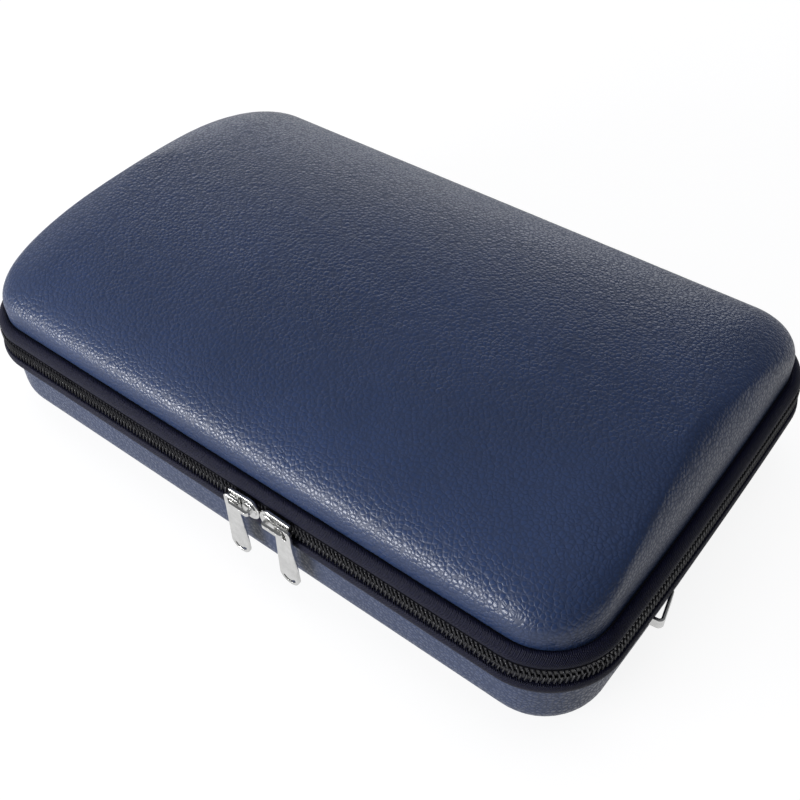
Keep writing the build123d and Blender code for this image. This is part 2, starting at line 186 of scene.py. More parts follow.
class ZipperSettings(bpy.types.PropertyGroup):
    pitch: bpy.props.FloatProperty(
        name="Pitch",
        description="Distance from one coil turn to the next",
        subtype="DISTANCE",
        unit="LENGTH",
        default=0.0020,
    )
    coil_colour: bpy.props.FloatVectorProperty(
        name="Coil colour",
        description="Colour of the nylon coil",
        subtype="COLOR",
        size=3,
        min=0,
        max=1,
        default=(0.007, 0.007, 0.010),
    )
    metal_colour: bpy.props.FloatVectorProperty(
        name="Metal colour",
        description="Colour of the nickel plate",
        subtype="COLOR",
        size=3,
        min=0,
        max=1,
        default=(0.74, 0.74, 0.73),
    )


class TrimSettings(bpy.types.PropertyGroup):
    colour: bpy.props.FloatVectorProperty(
        name="Trim colour",
        description="Colour of the rim bands",
        subtype="COLOR",
        size=3,
        min=0,
        max=1,
        default=(0.0026, 0.0029, 0.0095),
    )
    tape_colour: bpy.props.FloatVectorProperty(
        name="Tape colour",
        description="Colour of the zipper tapes and bindings",
        subtype="COLOR",
        size=3,
        min=0,
        max=1,
        default=(0.0045, 0.0045, 0.006),
    )


class InsideSettings(bpy.types.PropertyGroup):
    plush_colour: bpy.props.FloatVectorProperty(
        name="Plush colour",
        description="Colour of the lining",
        subtype="COLOR",
        size=3,
        min=0,
        max=1,
        default=(0.0075, 0.0075, 0.0095),
    )


class StageSettings(bpy.types.PropertyGroup):
    camera_place: bpy.props.FloatVectorProperty(
        name="Camera place",
        description="Where the camera stands",
        subtype="TRANSLATION",
        size=3,
        default=(0.2333, -0.2682, 0.3788),
    )
    azimuth: bpy.props.FloatProperty(
        name="Azimuth",
        description="Turn of the camera round the case",
        subtype="ANGLE",
        default=math.radians(39.56),
    )
    elevation: bpy.props.FloatProperty(
        name="Elevation",
        description="Height angle of the camera",
        subtype="ANGLE",
        default=math.radians(45.19),
    )
    roll: bpy.props.FloatProperty(
        name="Roll",
        description="Tilt of the picture",
        subtype="ANGLE",
        default=math.radians(-2.49),
    )
    lens: bpy.props.FloatProperty(
        name="Lens",
        description="Focal length",
        default=48.58,
    )


SETTINGS = {
    "case_leather": LeatherSettings,
    "case_zipper": ZipperSettings,
    "case_trim": TrimSettings,
    "case_inside": InsideSettings,
    "case_stage": StageSettings,
}


# ---------------------------------------------------------------- mesh helpers


def clear_selection():
    """Nothing selected, in object mode."""
    if bpy.context.object and bpy.context.object.mode != "OBJECT":
        bpy.ops.object.mode_set(mode="OBJECT")
    for item in bpy.context.view_layer.objects:
        item.select_set(False)


def pick(piece):
    """Only this piece selected and active."""
    clear_selection()
    piece.hide_set(False)
    piece.select_set(True)
    bpy.context.view_layer.objects.active = piece
    return piece


def tidy_mesh(piece, merge=0.00001):
    """Loose triangles merged into one surface with its faces outwards."""
    pick(piece)
    bpy.ops.object.mode_set(mode="EDIT")
    bpy.ops.mesh.select_all(action="SELECT")
    bpy.ops.mesh.remove_doubles(threshold=merge)
    bpy.ops.mesh.normals_make_consistent(inside=False)
    bpy.ops.object.mode_set(mode="OBJECT")
    return piece


def copy_node(node, name):
    """A merged copy of a frame node, free of the frame."""
    source = frame["nodes"][node]
    piece = bpy.data.objects.new(name, source.data.copy())
    bpy.context.scene.collection.objects.link(piece)
    piece.data.materials.clear()
    return tidy_mesh(piece)


def dissolve_flat(piece):
    """Triangles of one flat face joined into it."""
    pick(piece)
    bpy.ops.object.mode_set(mode="EDIT")
    bpy.ops.mesh.select_all(action="SELECT")
    bpy.ops.mesh.dissolve_limited(angle_limit=math.radians(FLAT_ANGLE))
    bpy.ops.object.mode_set(mode="OBJECT")
    return piece


def round_edges(piece, width, segments, angle):
    """Bevel on the edges sharper than an angle, then smooth shading."""
    pick(piece)
    bevel = piece.modifiers.new("Rounding", "BEVEL")
    bevel.width = width
    bevel.segments = segments
    bevel.limit_method = "ANGLE"
    bevel.angle_limit = angle
    bpy.ops.object.modifier_apply(modifier=bevel.name)
    bpy.ops.object.shade_smooth_by_angle(angle=math.radians(40))
    return piece


def put_in_place(piece, material, slot, body, *nodes):
    """Finishes a piece: its material, its body and the nodes that it stands for."""
    pick(piece)
    bpy.ops.object.transform_apply(location=True, rotation=True, scale=True)
    piece.data.materials.clear()
    piece.data.materials.append(material)
    if nodes:
        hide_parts(*nodes)
    if body:
        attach(piece, body)
    return piece


def dress_node(node, material):
    """A frame node that keeps its shape gets its finish."""
    mesh = frame["nodes"][node].data
    if not mesh.materials:
        mesh.materials.append(material)
    for index in range(len(mesh.materials)):
        mesh.materials[index] = material


# ---------------------------------------------------------------- outline


def outline_stations(outset, step):
    """Points along the plan outline at an outset, anticlockwise from the middle of the front.

    Each is (x, y, outward x, outward y)."""
    half_x, half_y = OUTLINE_LENGTH / 2, OUTLINE_WIDTH / 2
    radius = OUTLINE_RADIUS
    straight_x, straight_y = half_x - radius, half_y - radius
    runs = [
        ("line", (0, -half_y), (straight_x, -half_y), (0, -1)),
        ("turn", (straight_x, -straight_y), -90, None),
        ("line", (half_x, -straight_y), (half_x, straight_y), (1, 0)),
        ("turn", (straight_x, straight_y), 0, None),
        ("line", (straight_x, half_y), (-straight_x, half_y), (0, 1)),
        ("turn", (-straight_x, straight_y), 90, None),
        ("line", (-half_x, straight_y), (-half_x, -straight_y), (-1, 0)),
        ("turn", (-straight_x, -straight_y), 180, None),
        ("line", (-straight_x, -half_y), (0, -half_y), (0, -1)),
    ]
    path = []
    for kind, start, end, outward in runs:
        if kind == "line":
            length = math.dist(start, end)
            count = max(2, round(length / OUTLINE_STEP))
            for i in range(count):
                t = i / count
                x = start[0] + t * (end[0] - start[0])
                y = start[1] + t * (end[1] - start[1])
                path.append((x, y, *outward))
        else:
            for i in range(CORNER_STEPS):
                angle = math.radians(end + 90 * i / CORNER_STEPS)
                x, y = math.cos(angle), math.sin(angle)
                path.append((start[0] + radius * x, start[1] + radius * y, x, y))
    bowed = []
    for x, y, out_x, out_y in path:
        near_end = min(1, max(0, (abs(x) - straight_x) / radius))
        bow = math.copysign(OUTLINE_BOW * (1 - (y / half_y) ** 2) * near_end, x)
        bowed.append((x + bow + outset * out_x, y + outset * out_y, out_x, out_y))
    stations = []
    travelled = 0.0
    for i, point in enumerate(bowed):
        following = bowed[(i + 1) % len(bowed)]
        length = math.dist(point[:2], following[:2])
        while travelled < length:
            t = travelled / length
            stations.append(tuple(a + t * (b - a) for a, b in zip(point, following)))
            travelled += step
        travelled -= length
    return stations


def rim_curve(name):
    """A closed curve along the outline, at the seam."""
    stations = outline_stations(0, SWEEP_STEP)
    curve = bpy.data.curves.new(name, "CURVE")
    curve.dimensions = "3D"
    curve.twist_mode = "Z_UP"
    spline = curve.splines.new("POLY")
    spline.points.add(len(stations) - 1)
    for point, (x, y, _, _) in zip(spline.points, stations):
        point.co = (x, y, SEAM_HEIGHT, 1)
    spline.use_cyclic_u = True
    piece = bpy.data.objects.new(name, curve)
    bpy.context.scene.collection.objects.link(piece)
    return piece


def rim_sweep(name, section):
    """A closed cross-section, in millimetres, swept round the rim."""
    profile = bpy.data.curves.new(name + "_section", "CURVE")
    profile.dimensions = "2D"
    spline = profile.splines.new("POLY")
    spline.points.add(len(section) - 1)
    for point, (outset, height) in zip(spline.points, section):
        point.co = (outset * MM, height * MM, 0, 1)
    spline.use_cyclic_u = True
    section_piece = bpy.data.objects.new(name + "_section", profile)
    bpy.context.scene.collection.objects.link(section_piece)
    piece = rim_curve(name)
    piece.data.bevel_mode = "OBJECT"
    piece.data.bevel_object = section_piece
    pick(piece)
    bpy.ops.object.convert(target="MESH")
    piece = bpy.context.object
    piece.name = name
    bpy.data.objects.remove(section_piece)
    tidy_mesh(piece)
    pick(piece)
    bpy.ops.object.shade_smooth_by_angle(angle=math.radians(50))
    return piece


def soft_section(corners, rounding, per_corner=5):
    """A cross-section with rounded corners: each becomes a short smooth run of points."""
    points = []
    count = len(corners)
    for i in range(count):
        before, here, after = (Vector(corners[(i + k) % count]) for k in (-1, 0, 1))
        reach = rounding[i] if isinstance(rounding, (list, tuple)) else rounding
        start = here + (before - here).normalized() * min(reach, (before - here).length * 0.49)
        end = here + (after - here).normalized() * min(reach, (after - here).length * 0.49)
        for k in range(per_corner + 1):
            t = k / per_corner
            point = (1 - t) ** 2 * start + 2 * t * (1 - t) * here + t * t * end
            points.append((point.x, point.y))
    return points


# ---------------------------------------------------------------- shader helpers


def new_group(name, inputs, outputs):
    """An empty node group with its sockets: each is (name, socket type, default or None)."""
    group = bpy.data.node_groups.new(name, "ShaderNodeTree")
    for direction, sockets in (("INPUT", inputs), ("OUTPUT", outputs)):
        for label, kind, default in sockets:
            socket = group.interface.new_socket(name=label, in_out=direction, socket_type=kind)
            if default is not None:
                socket.default_value = default
    return group, group.nodes.new("NodeGroupInput"), group.nodes.new("NodeGroupOutput")


def add_node(tree, kind, links=(), **values):
    """A node with its properties and inputs set. links are (input, output socket) pairs."""
    node = tree.nodes.new(kind)
    for key, value in values.items():
        if key.startswith("in_"):
            node.inputs[key[3:].replace("_", " ")].default_value = value
        else:
            setattr(node, key, value)
    for target, source in links:
        tree.links.new(source, node.inputs[target])
    return node


def math_node(tree, operation, first, second=None, third=None):
    """A Math node, whose arguments are numbers or sockets. Gives its output."""
    node = tree.nodes.new("ShaderNodeMath")
    node.operation = operation
    for index, value in enumerate((first, second, third)):
        if value is None:
            continue
        if isinstance(value, (int, float)):
            node.inputs[index].default_value = value
        else:
            tree.links.new(value, node.inputs[index])
    return node.outputs[0]


def mix_colour(tree, factor, first, second):
    """A colour mix. Gives its output."""
    node = tree.nodes.new("ShaderNodeMix")
    node.data_type = "RGBA"
    for index, value in ((0, factor), (6, first), (7, second)):
        if hasattr(value, "is_linked"):
            tree.links.new(value, node.inputs[index])
        elif isinstance(value, (int, float)):
            node.inputs[index].default_value = value
        else:
            node.inputs[index].default_value = (*value[:3], 1)
    return node.outputs[2]


def noise(tree, vector, scale, detail):
    """A noise texture on a vector. Gives its node."""
    return add_node(
        tree, "ShaderNodeTexNoise", [("Vector", vector)], in_Scale=scale, in_Detail=detail
    )


def times(colour, factor):
    """A colour made lighter or darker."""
    return tuple(c * factor for c in colour)


def map_range(tree, value, low, high, to_low=0.0, to_high=1.0, smooth=False):
    """A Map Range node. Gives its output."""
    node = tree.nodes.new("ShaderNodeMapRange")
    node.interpolation_type = "SMOOTHSTEP" if smooth else "LINEAR"
    tree.links.new(value, node.inputs["Value"])
    node.inputs["From Min"].default_value = low
    node.inputs["From Max"].default_value = high
    node.inputs["To Min"].default_value = to_low
    node.inputs["To Max"].default_value = to_high
    return node.outputs[0]


def pebble_grain_group():
    """Leather grain: rounded pebbles parted by creases, with fine pores on top."""
    if "Pebble grain" in bpy.data.node_groups:
        return bpy.data.node_groups["Pebble grain"]
    tree, given, out = new_group(
        "Pebble grain",
        [("Vector", "NodeSocketVector", None), ("Size", "NodeSocketFloat", 0.002)],
        [
            ("Height", "NodeSocketFloat", None),
            ("Crease", "NodeSocketFloat", None),
            ("Patch", "NodeSocketFloat", None),
        ],
    )
    scale = math_node(tree, "DIVIDE", 1.0, given.outputs["Size"])
    warp = noise(tree, given.outputs["Vector"], 300.0, 1.0)
    centred = add_node(
        tree, "ShaderNodeVectorMath", [(0, warp.outputs["Color"])], operation="SUBTRACT"
    )
    centred.inputs[1].default_value = (0.5, 0.5, 0.5)
    shift = add_node(tree, "ShaderNodeVectorMath", [(0, centred.outputs[0])], operation="SCALE")
    shift.inputs["Scale"].default_value = 0.0010
    place = add_node(
        tree,
        "ShaderNodeVectorMath",
        [(0, given.outputs["Vector"]), (1, shift.outputs[0])],
        operation="ADD",
    )
    cells = add_node(
        tree,
        "ShaderNodeTexVoronoi",
        [("Vector", place.outputs[0]), ("Scale", scale)],
        feature="DISTANCE_TO_EDGE",
        in_Randomness=0.95,
    )
    domes = add_node(
        tree,
        "ShaderNodeTexVoronoi",
        [("Vector", place.outputs[0]), ("Scale", scale)],
        feature="SMOOTH_F1",
        in_Randomness=0.95,
        in_Smoothness=0.25,
    )
    edge = map_range(tree, cells.outputs["Distance"], 0.0, 0.22, smooth=True)
    reach = math_node(tree, "MULTIPLY", domes.outputs["Distance"], domes.outputs["Distance"])
    dome = map_range(tree, reach, 0.0, 0.55, 1.0, 0.0)
    pores = noise(tree, given.outputs["Vector"], 2600.0, 2.0)
    patches = noise(tree, given.outputs["Vector"], 70.0, 2.0)
    height = math_node(tree, "MULTIPLY", edge, 0.3)
    height = math_node(tree, "MULTIPLY_ADD", dome, 0.7, height)
    height = math_node(tree, "MULTIPLY_ADD", pores.outputs["Fac"], 0.05, height)
    strength = map_range(tree, patches.outputs["Fac"], 0.3, 0.7, 0.7, 1.0)
    height = math_node(tree, "MULTIPLY", height, strength)
    tree.links.new(height, out.inputs["Height"])
    tree.links.new(math_node(tree, "SUBTRACT", 1.0, edge), out.inputs["Crease"])
    tree.links.new(patches.outputs["Fac"], out.inputs["Patch"])
    return tree


def weave_group():
    """Plain weave: two sets of threads over and under each other, with uneven yarn."""
    if "Plain weave" in bpy.data.node_groups:
        return bpy.data.node_groups["Plain weave"]
    tree, given, out = new_group(
        "Plain weave",
        [("Vector", "NodeSocketVector", None), ("Thread", "NodeSocketFloat", 0.0006)],
        [("Height", "NodeSocketFloat", None), ("Tone", "NodeSocketFloat", None)],
    )
    parts = add_node(tree, "ShaderNodeSeparateXYZ", [(0, given.outputs["Vector"])])
    turn = math_node(tree, "DIVIDE", math.pi, given.outputs["Thread"])
    along = math_node(tree, "ADD", parts.outputs["X"], parts.outputs["Y"])
    across = math_node(tree, "MULTIPLY_ADD", along, 0.12, parts.outputs["Z"])
    first = math_node(tree, "SINE", math_node(tree, "MULTIPLY", along, turn))
    second = math_node(tree, "SINE", math_node(tree, "MULTIPLY", across, turn))
    threads = math_node(tree, "MULTIPLY", first, second)
    fuzz = noise(tree, given.outputs["Vector"], 1800.0, 3.0)
    yarn = math_node(tree, "MULTIPLY", fuzz.outputs["Fac"], 0.65)
    height = math_node(tree, "MULTIPLY_ADD", threads, 0.35, yarn)
    tree.links.new(height, out.inputs["Height"])
    tree.links.new(fuzz.outputs["Fac"], out.inputs["Tone"])
    return tree


def speckle_group():
    """Uneven handling marks: broad smudges and fine specks."""
    if "Handling marks" in bpy.data.node_groups:
        return bpy.data.node_groups["Handling marks"]
    tree, given, out = new_group(
        "Handling marks",
        [("Vector", "NodeSocketVector", None), ("Scale", "NodeSocketFloat", 60.0)],
        [("Smudge", "NodeSocketFloat", None), ("Speck", "NodeSocketFloat", None)],
    )
    smudge = add_node(
        tree,
        "ShaderNodeTexNoise",
        [("Vector", given.outputs["Vector"]), ("Scale", given.outputs["Scale"])],
        in_Detail=4.0,
        in_Roughness=0.6,
    )
    speck = noise(tree, given.outputs["Vector"], 2200.0, 2.0)
    tree.links.new(smudge.outputs["Fac"], out.inputs["Smudge"])
    tree.links.new(speck.outputs["Fac"], out.inputs["Speck"])
    return tree


def start_material(name, **values):
    """A new material: its tree, its shader and the object's own coordinates."""
    material = bpy.data.materials.new(name)
    material.use_nodes = True
    tree = material.node_tree
    shader = tree.nodes["Principled BSDF"]
    for key, value in values.items():
        socket = shader.inputs[key.replace("_", " ")]
        socket.default_value = value
    coordinates = tree.nodes.new("ShaderNodeTexCoord")
    return material, tree, shader, coordinates.outputs["Object"]


def use_group(tree, group, vector, **values):
    """A group placed in a material with its own values."""
    node = tree.nodes.new("ShaderNodeGroup")
    node.node_tree = group
    tree.links.new(vector, node.inputs["Vector"])
    for key, value in values.items():
        node.inputs[key].default_value = value
    return node


def add_bump(tree, shader, height, distance):
    """A bump from a height socket into the shader's normal."""
    bump = tree.nodes.new("ShaderNodeBump")
    bump.inputs["Strength"].default_value = 1.0
    bump.inputs["Distance"].default_value = distance
    tree.links.new(height, bump.inputs["Height"])
    tree.links.new(bump.outputs["Normal"], shader.inputs["Normal"])


def leather_material():
    """Navy coated leather with pebble grain: duller creases between shinier pebbles, with painted
    shade darkening the creases.
    """
    if "Pebbled leather" in bpy.data.materials:
        return bpy.data.materials["Pebbled leather"]
    values = bpy.context.scene.case_leather
    colour = tuple(values.colour)
    material, tree, shader, place = start_material("Pebbled leather")
    grain = use_group(tree, pebble_grain_group(), place, Size=values.grain_size)
    marks = use_group(tree, speckle_group(), place, Scale=14.0)
    tone = map_range(tree, marks.outputs["Smudge"], 0.35, 0.7)
    base = mix_colour(tree, tone, colour, times(colour, 1.25))
    # Painted shade: the base colour darkens in the creases between the pebbles, where shade would
    # fall.
    painted_crease_shade = math_node(tree, "MULTIPLY", grain.outputs["Crease"], 0.4)
    base = mix_colour(tree, painted_crease_shade, base, times(colour, 0.4))
    tree.links.new(base, shader.inputs["Base Color"])
    rough = math_node(tree, "MULTIPLY_ADD", grain.outputs["Crease"], 0.25, 0.27)
    rough = math_node(tree, "MULTIPLY_ADD", marks.outputs["Smudge"], 0.08, rough)
    tree.links.new(rough, shader.inputs["Roughness"])
    add_bump(tree, shader, grain.outputs["Height"], values.grain_depth)
    return material


def trim_material():
    """Black rim trim: fine knitted cloth with a dull coating."""
    if "Rim trim" in bpy.data.materials:
        return bpy.data.materials["Rim trim"]
    colour = tuple(bpy.context.scene.case_trim.colour)
    material, tree, shader, place = start_material("Rim trim", Specular_IOR_Level=0.15)
    weave = use_group(tree, weave_group(), place, Thread=0.00055)
    marks = use_group(tree, speckle_group(), place, Scale=45.0)
    tone = map_range(tree, weave.outputs["Tone"], 0.35, 0.7)
    base = mix_colour(tree, tone, colour, times(colour, 2.4))
    tree.links.new(base, shader.inputs["Base Color"])
    rough = math_node(tree, "MULTIPLY_ADD", marks.outputs["Smudge"], 0.2, 0.5)
    tree.links.new(rough, shader.inputs["Roughness"])
    add_bump(tree, shader, weave.outputs["Height"], 0.0003)
    return material


def tape_material():
    """Woven tape, with painted shade in the hollows of the weave."""
    if "Woven tape" in bpy.data.materials:
        return bpy.data.materials["Woven tape"]
    colour = tuple(bpy.context.scene.case_trim.tape_colour)
    material, tree, shader, place = start_material(
        "Woven tape", Specular_IOR_Level=0.18, Sheen_Weight=0.04, Sheen_Roughness=0.6
    )
    weave = use_group(tree, weave_group(), place, Thread=0.0009)
    # Painted shade with uneven yarn tone: the colour follows the weave's height, darker in the
    # hollows between the threads and lighter on the raised yarn.
    tone = map_range(tree, weave.outputs["Height"], 0.2, 0.75)
    base = mix_colour(tree, tone, colour, times(colour, 1.8))
    tree.links.new(base, shader.inputs["Base Color"])
    rough = map_range(tree, weave.outputs["Tone"], 0.3, 0.7, 0.75, 0.92)
    tree.links.new(rough, shader.inputs["Roughness"])
    add_bump(tree, shader, weave.outputs["Height"], 0.00022)
    return material


def coil_material():
    """Black nylon of the coil, with uneven lighter, rougher patches."""
    if "Nylon coil" in bpy.data.materials:
        return bpy.data.materials["Nylon coil"]
    colour = tuple(bpy.context.scene.case_zipper.coil_colour)
    material, tree, shader, place = start_material("Nylon coil")
    marks = use_group(tree, speckle_group(), place, Scale=80.0)
    tone = map_range(tree, marks.outputs["Smudge"], 0.3, 0.7)
    base = mix_colour(tree, tone, colour, times(colour, 1.7))
    tree.links.new(base, shader.inputs["Base Color"])
    rough = map_range(tree, marks.outputs["Smudge"], 0.3, 0.7, 0.3, 0.46)
    tree.links.new(rough, shader.inputs["Roughness"])
    add_bump(tree, shader, marks.outputs["Speck"], 0.00003)
    return material


def nickel_material():
    """Bright nickel plate over die casting: slightly wavy, with smudges."""
    if "Nickel plate" in bpy.data.materials:
        return bpy.data.materials["Nickel plate"]
    colour = tuple(bpy.context.scene.case_zipper.metal_colour)
    material, tree, shader, place = start_material("Nickel plate", Metallic=1.0)
    marks = use_group(tree, speckle_group(), place, Scale=240.0)
    tone = map_range(tree, marks.outputs["Smudge"], 0.35, 0.7)
    base = mix_colour(tree, tone, colour, times(colour, 0.86))
    tree.links.new(base, shader.inputs["Base Color"])
    rough = map_range(tree, marks.outputs["Smudge"], 0.3, 0.7, 0.12, 0.26)
    tree.links.new(rough, shader.inputs["Roughness"])
    add_bump(tree, shader, marks.outputs["Smudge"], 0.00012)
    return material


def zinc_material():
    """Dull zinc-plated steel of the hidden plates."""
    if "Zinc plate" in bpy.data.materials:
        return bpy.data.materials["Zinc plate"]
    material, tree, shader, place = start_material("Zinc plate", Metallic=1.0)
    marks = use_group(tree, speckle_group(), place, Scale=180.0)
    base = mix_colour(tree, marks.outputs["Smudge"], (0.42, 0.44, 0.46), (0.28, 0.29, 0.31))
    tree.links.new(base, shader.inputs["Base Color"])
    rough = map_range(tree, marks.outputs["Smudge"], 0.3, 0.7, 0.4, 0.6)
    tree.links.new(rough, shader.inputs["Roughness"])
    add_bump(tree, shader, marks.outputs["Speck"], 0.00003)
    return material


def plush_material():
    """Short black pile: soft, uneven nap with a pale bloom at grazing angles."""
    if "Black plush" in bpy.data.materials:
        return bpy.data.materials["Black plush"]
    colour = tuple(bpy.context.scene.case_inside.plush_colour)
    material, tree, shader, place = start_material(
        "Black plush",
        Roughness=0.95,
        Specular_IOR_Level=0.12,
        Sheen_Weight=0.55,
        Sheen_Roughness=0.35,
    )
    marks = use_group(tree, speckle_group(), place, Scale=120.0)
    nap = noise(tree, place, 900.0, 4.0)
    nap.inputs["Roughness"].default_value = 0.7
    brushed = map_range(tree, marks.outputs["Smudge"], 0.35, 0.65)
    base = mix_colour(tree, brushed, times(colour, 0.6), times(colour, 2.2))
    raised = map_range(tree, nap.outputs["Fac"], 0.35, 0.7)
    base = mix_colour(tree, raised, base, times(colour, 1.6))
    tree.links.new(base, shader.inputs["Base Color"])
    height = math_node(tree, "MULTIPLY_ADD", marks.outputs["Smudge"], 0.8, nap.outputs["Fac"])
    add_bump(tree, shader, height, 0.0007)
    return material


def foam_material(name, dark, light, cell):
    """Foam with small open cells, with painted shade darkening the pit of each cell."""
    if name in bpy.data.materials:
        return bpy.data.materials[name]
    material, tree, shader, place = start_material(name, Roughness=0.85, Specular_IOR_Level=0.25)
    cells = add_node(tree, "ShaderNodeTexVoronoi", [("Vector", place)], in_Scale=1 / cell)
    marks = use_group(tree, speckle_group(), place, Scale=60.0)
    # Painted shade: the colour darkens towards the bottom of each cell's pit, following the same
    # height as the bump.
    cell_pit_shade = map_range(tree, cells.outputs["Distance"], 0.1, 0.7)
    base = mix_colour(tree, cell_pit_shade, dark, light)
    worn = math_node(tree, "MULTIPLY", marks.outputs["Smudge"], 0.4)
    base = mix_colour(tree, worn, base, light)
    tree.links.new(base, shader.inputs["Base Color"])
    add_bump(tree, shader, cells.outputs["Distance"], cell * 0.4)
    return material


# ---------------------------------------------------------------- pieces


class CASE_OT_cover_shells(bpy.types.Operator):
    """Cover both shells in pebbled leather"""

    bl_idname = "clarinet_case.cover_shells"
    bl_label = "Leather covers"

    def execute(self, context):
        leather = leather_material()
        for node, body in (("base_skin", "base"), ("lid_skin", "lid")):
            piece = copy_node(node, body + "_leather")
            pick(piece)
            bpy.ops.object.shade_smooth_by_angle(angle=math.radians(35))
            put_in_place(piece, leather, "leather", body, node)
        return {"FINISHED"}


class CASE_OT_lay_bands(bpy.types.Operator):
    """Lay the padded rim bands below and above the zipper"""

    bl_idname = "clarinet_case.lay_bands"
    bl_label = "Rim bands"

    def execute(self, context):
        trim = trim_material()
        piece = rim_sweep("base_rim_band", soft_section(LOWER_BAND, LOWER_BAND_ROUNDING))
        put_in_place(piece, trim, "piping", "base", "base_band")
        piece = rim_sweep("lid_rim_band", soft_section(UPPER_BAND, UPPER_BAND_ROUNDING))
        put_in_place(piece, trim, "piping", "lid", "lid_band")
        return {"FINISHED"}


class CASE_OT_wind_coils(bpy.types.Operator):
    """Wind the two halves of the coil, turn by turn"""

    bl_idname = "clarinet_case.wind_coils"
    bl_label = "Zipper coils"

    def model_turn(self):
        """One turn of the coil, lying on its tape, its hook towards the other half."""
        clear_selection()
        bpy.ops.mesh.primitive_cylinder_add(
            vertices=8, radius=TURN_RADIUS, depth=TURN_LENGTH, location=(0, 0, 0)
        )
        turn = bpy.context.object
        bpy.ops.object.mode_set(mode="EDIT")
        bpy.ops.mesh.select_all(action="SELECT")
        bpy.ops.mesh.bevel(offset=TURN_ROUNDING, segments=1, affect="EDGES")
        bpy.ops.mesh.select_all(action="SELECT")
        bpy.ops.mesh.remove_doubles(threshold=0.06 * MM)
        bpy.ops.object.mode_set(mode="OBJECT")
        return turn

    def lay_core(self, body, side, coil):
        """The flat inner side of the coil, which its turns stand out from, open at the back."""
        section = [(outset, side * height) for outset, height in COIL_CORE]
        piece = rim_sweep(body + "_coil_core", soft_section(section, COIL_CORE_ROUNDING, 2))
        pick(piece)
        bpy.ops.object.mode_set(mode="EDIT")
        bpy.ops.mesh.select_all(action="DESELECT")
        bpy.ops.object.mode_set(mode="OBJECT")
        for face in piece.data.polygons:
            at_back = face.center.y > OUTLINE_WIDTH / 2 - 0.004
            face.select = at_back and abs(face.center.x) < CHAIN_END_X
        bpy.ops.object.mode_set(mode="EDIT")
        bpy.ops.mesh.delete(type="FACE")
        bpy.ops.mesh.select_all(action="DESELECT")
        bpy.ops.mesh.select_non_manifold()
        bpy.ops.mesh.fill_holes(sides=0)
        bpy.ops.object.mode_set(mode="OBJECT")
        put_in_place(piece, coil, "coil", body, body + "_coil")

    def execute(self, context):
        coil = coil_material()
        pitch = context.scene.case_zipper.pitch
        turn = self.model_turn()
        stations = outline_stations(TURN_OUTSET, pitch / 2)
        for body, side in (("base", -1), ("lid", 1)):
            self.lay_core(body, side, coil)
            copies = []
            for index, (x, y, out_x, out_y) in enumerate(stations):
                if index % 2 != (0 if side > 0 else 1):
                    continue
                if y > OUTLINE_WIDTH / 2 - 0.002 and abs(x) < CHAIN_END_X:
                    continue
                copy = turn.copy()
                copy.data = turn.data.copy()
                heading = math.atan2(out_y, out_x)
                place = (
                    Matrix.Translation((x, y, SEAM_HEIGHT + side * TURN_HEIGHT))
                    @ Matrix.Rotation(heading, 4, "Z")
                    @ Matrix.Rotation(side * math.radians(TURN_LEAN), 4, "X")
                    @ Matrix.Diagonal((TURN_WIDENING, 1.0, 1.0, 1.0))
                )
                copy.data.transform(place)
                copy.matrix_world = Matrix.Identity(4)
                context.scene.collection.objects.link(copy)
                copies.append(copy)
            clear_selection()
            for copy in copies:
                copy.select_set(True)
            context.view_layer.objects.active = copies[0]
            bpy.ops.object.join()
            piece = context.object
            piece.name = body + "_coil_turns"
            bpy.ops.object.shade_smooth_by_angle(angle=math.radians(60))
            put_in_place(piece, coil, "coil", body)
        bpy.data.objects.remove(turn)
        return {"FINISHED"}


class CASE_OT_sew_tapes(bpy.types.Operator):
    """Finish the zipper tapes and the bindings inside the rim"""

    bl_idname = "clarinet_case.sew_tapes"
    bl_label = "Tapes and bindings"

    def execute(self, context):
        tape = tape_material()
        for node in ("base_tape", "lid_tape", "base_edge_binding", "lid_edge_binding"):
            dress_node(node, tape)
        return {"FINISHED"}


class CASE_OT_join_hinge(bpy.types.Operator):
    """Lay the hinge cloth at the back between the halves, cut into bands across the seam"""

    bl_idname = "clarinet_case.join_hinge"
    bl_label = "Hinge cloth"

    def execute(self, context):
        tape = tape_material()
        for node, reach in HINGE_REACH:
            piece = copy_node(node, node + "_cloth")
            dissolve_flat(piece)
            pick(piece)
            bpy.ops.object.mode_set(mode="EDIT")
            for index in range(-HINGE_BANDS, HINGE_BANDS + 1):
                bpy.ops.mesh.select_all(action="SELECT")
                height = SEAM_HEIGHT + index * reach / HINGE_BANDS
                bpy.ops.mesh.bisect(plane_co=(0, 0, height), plane_no=(0, 0, 1))
            bpy.ops.object.mode_set(mode="OBJECT")
            bpy.ops.object.shade_smooth_by_angle(angle=math.radians(40))
            put_in_place(piece, tape, "tape", None, node)
            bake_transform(piece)
        return {"FINISHED"}


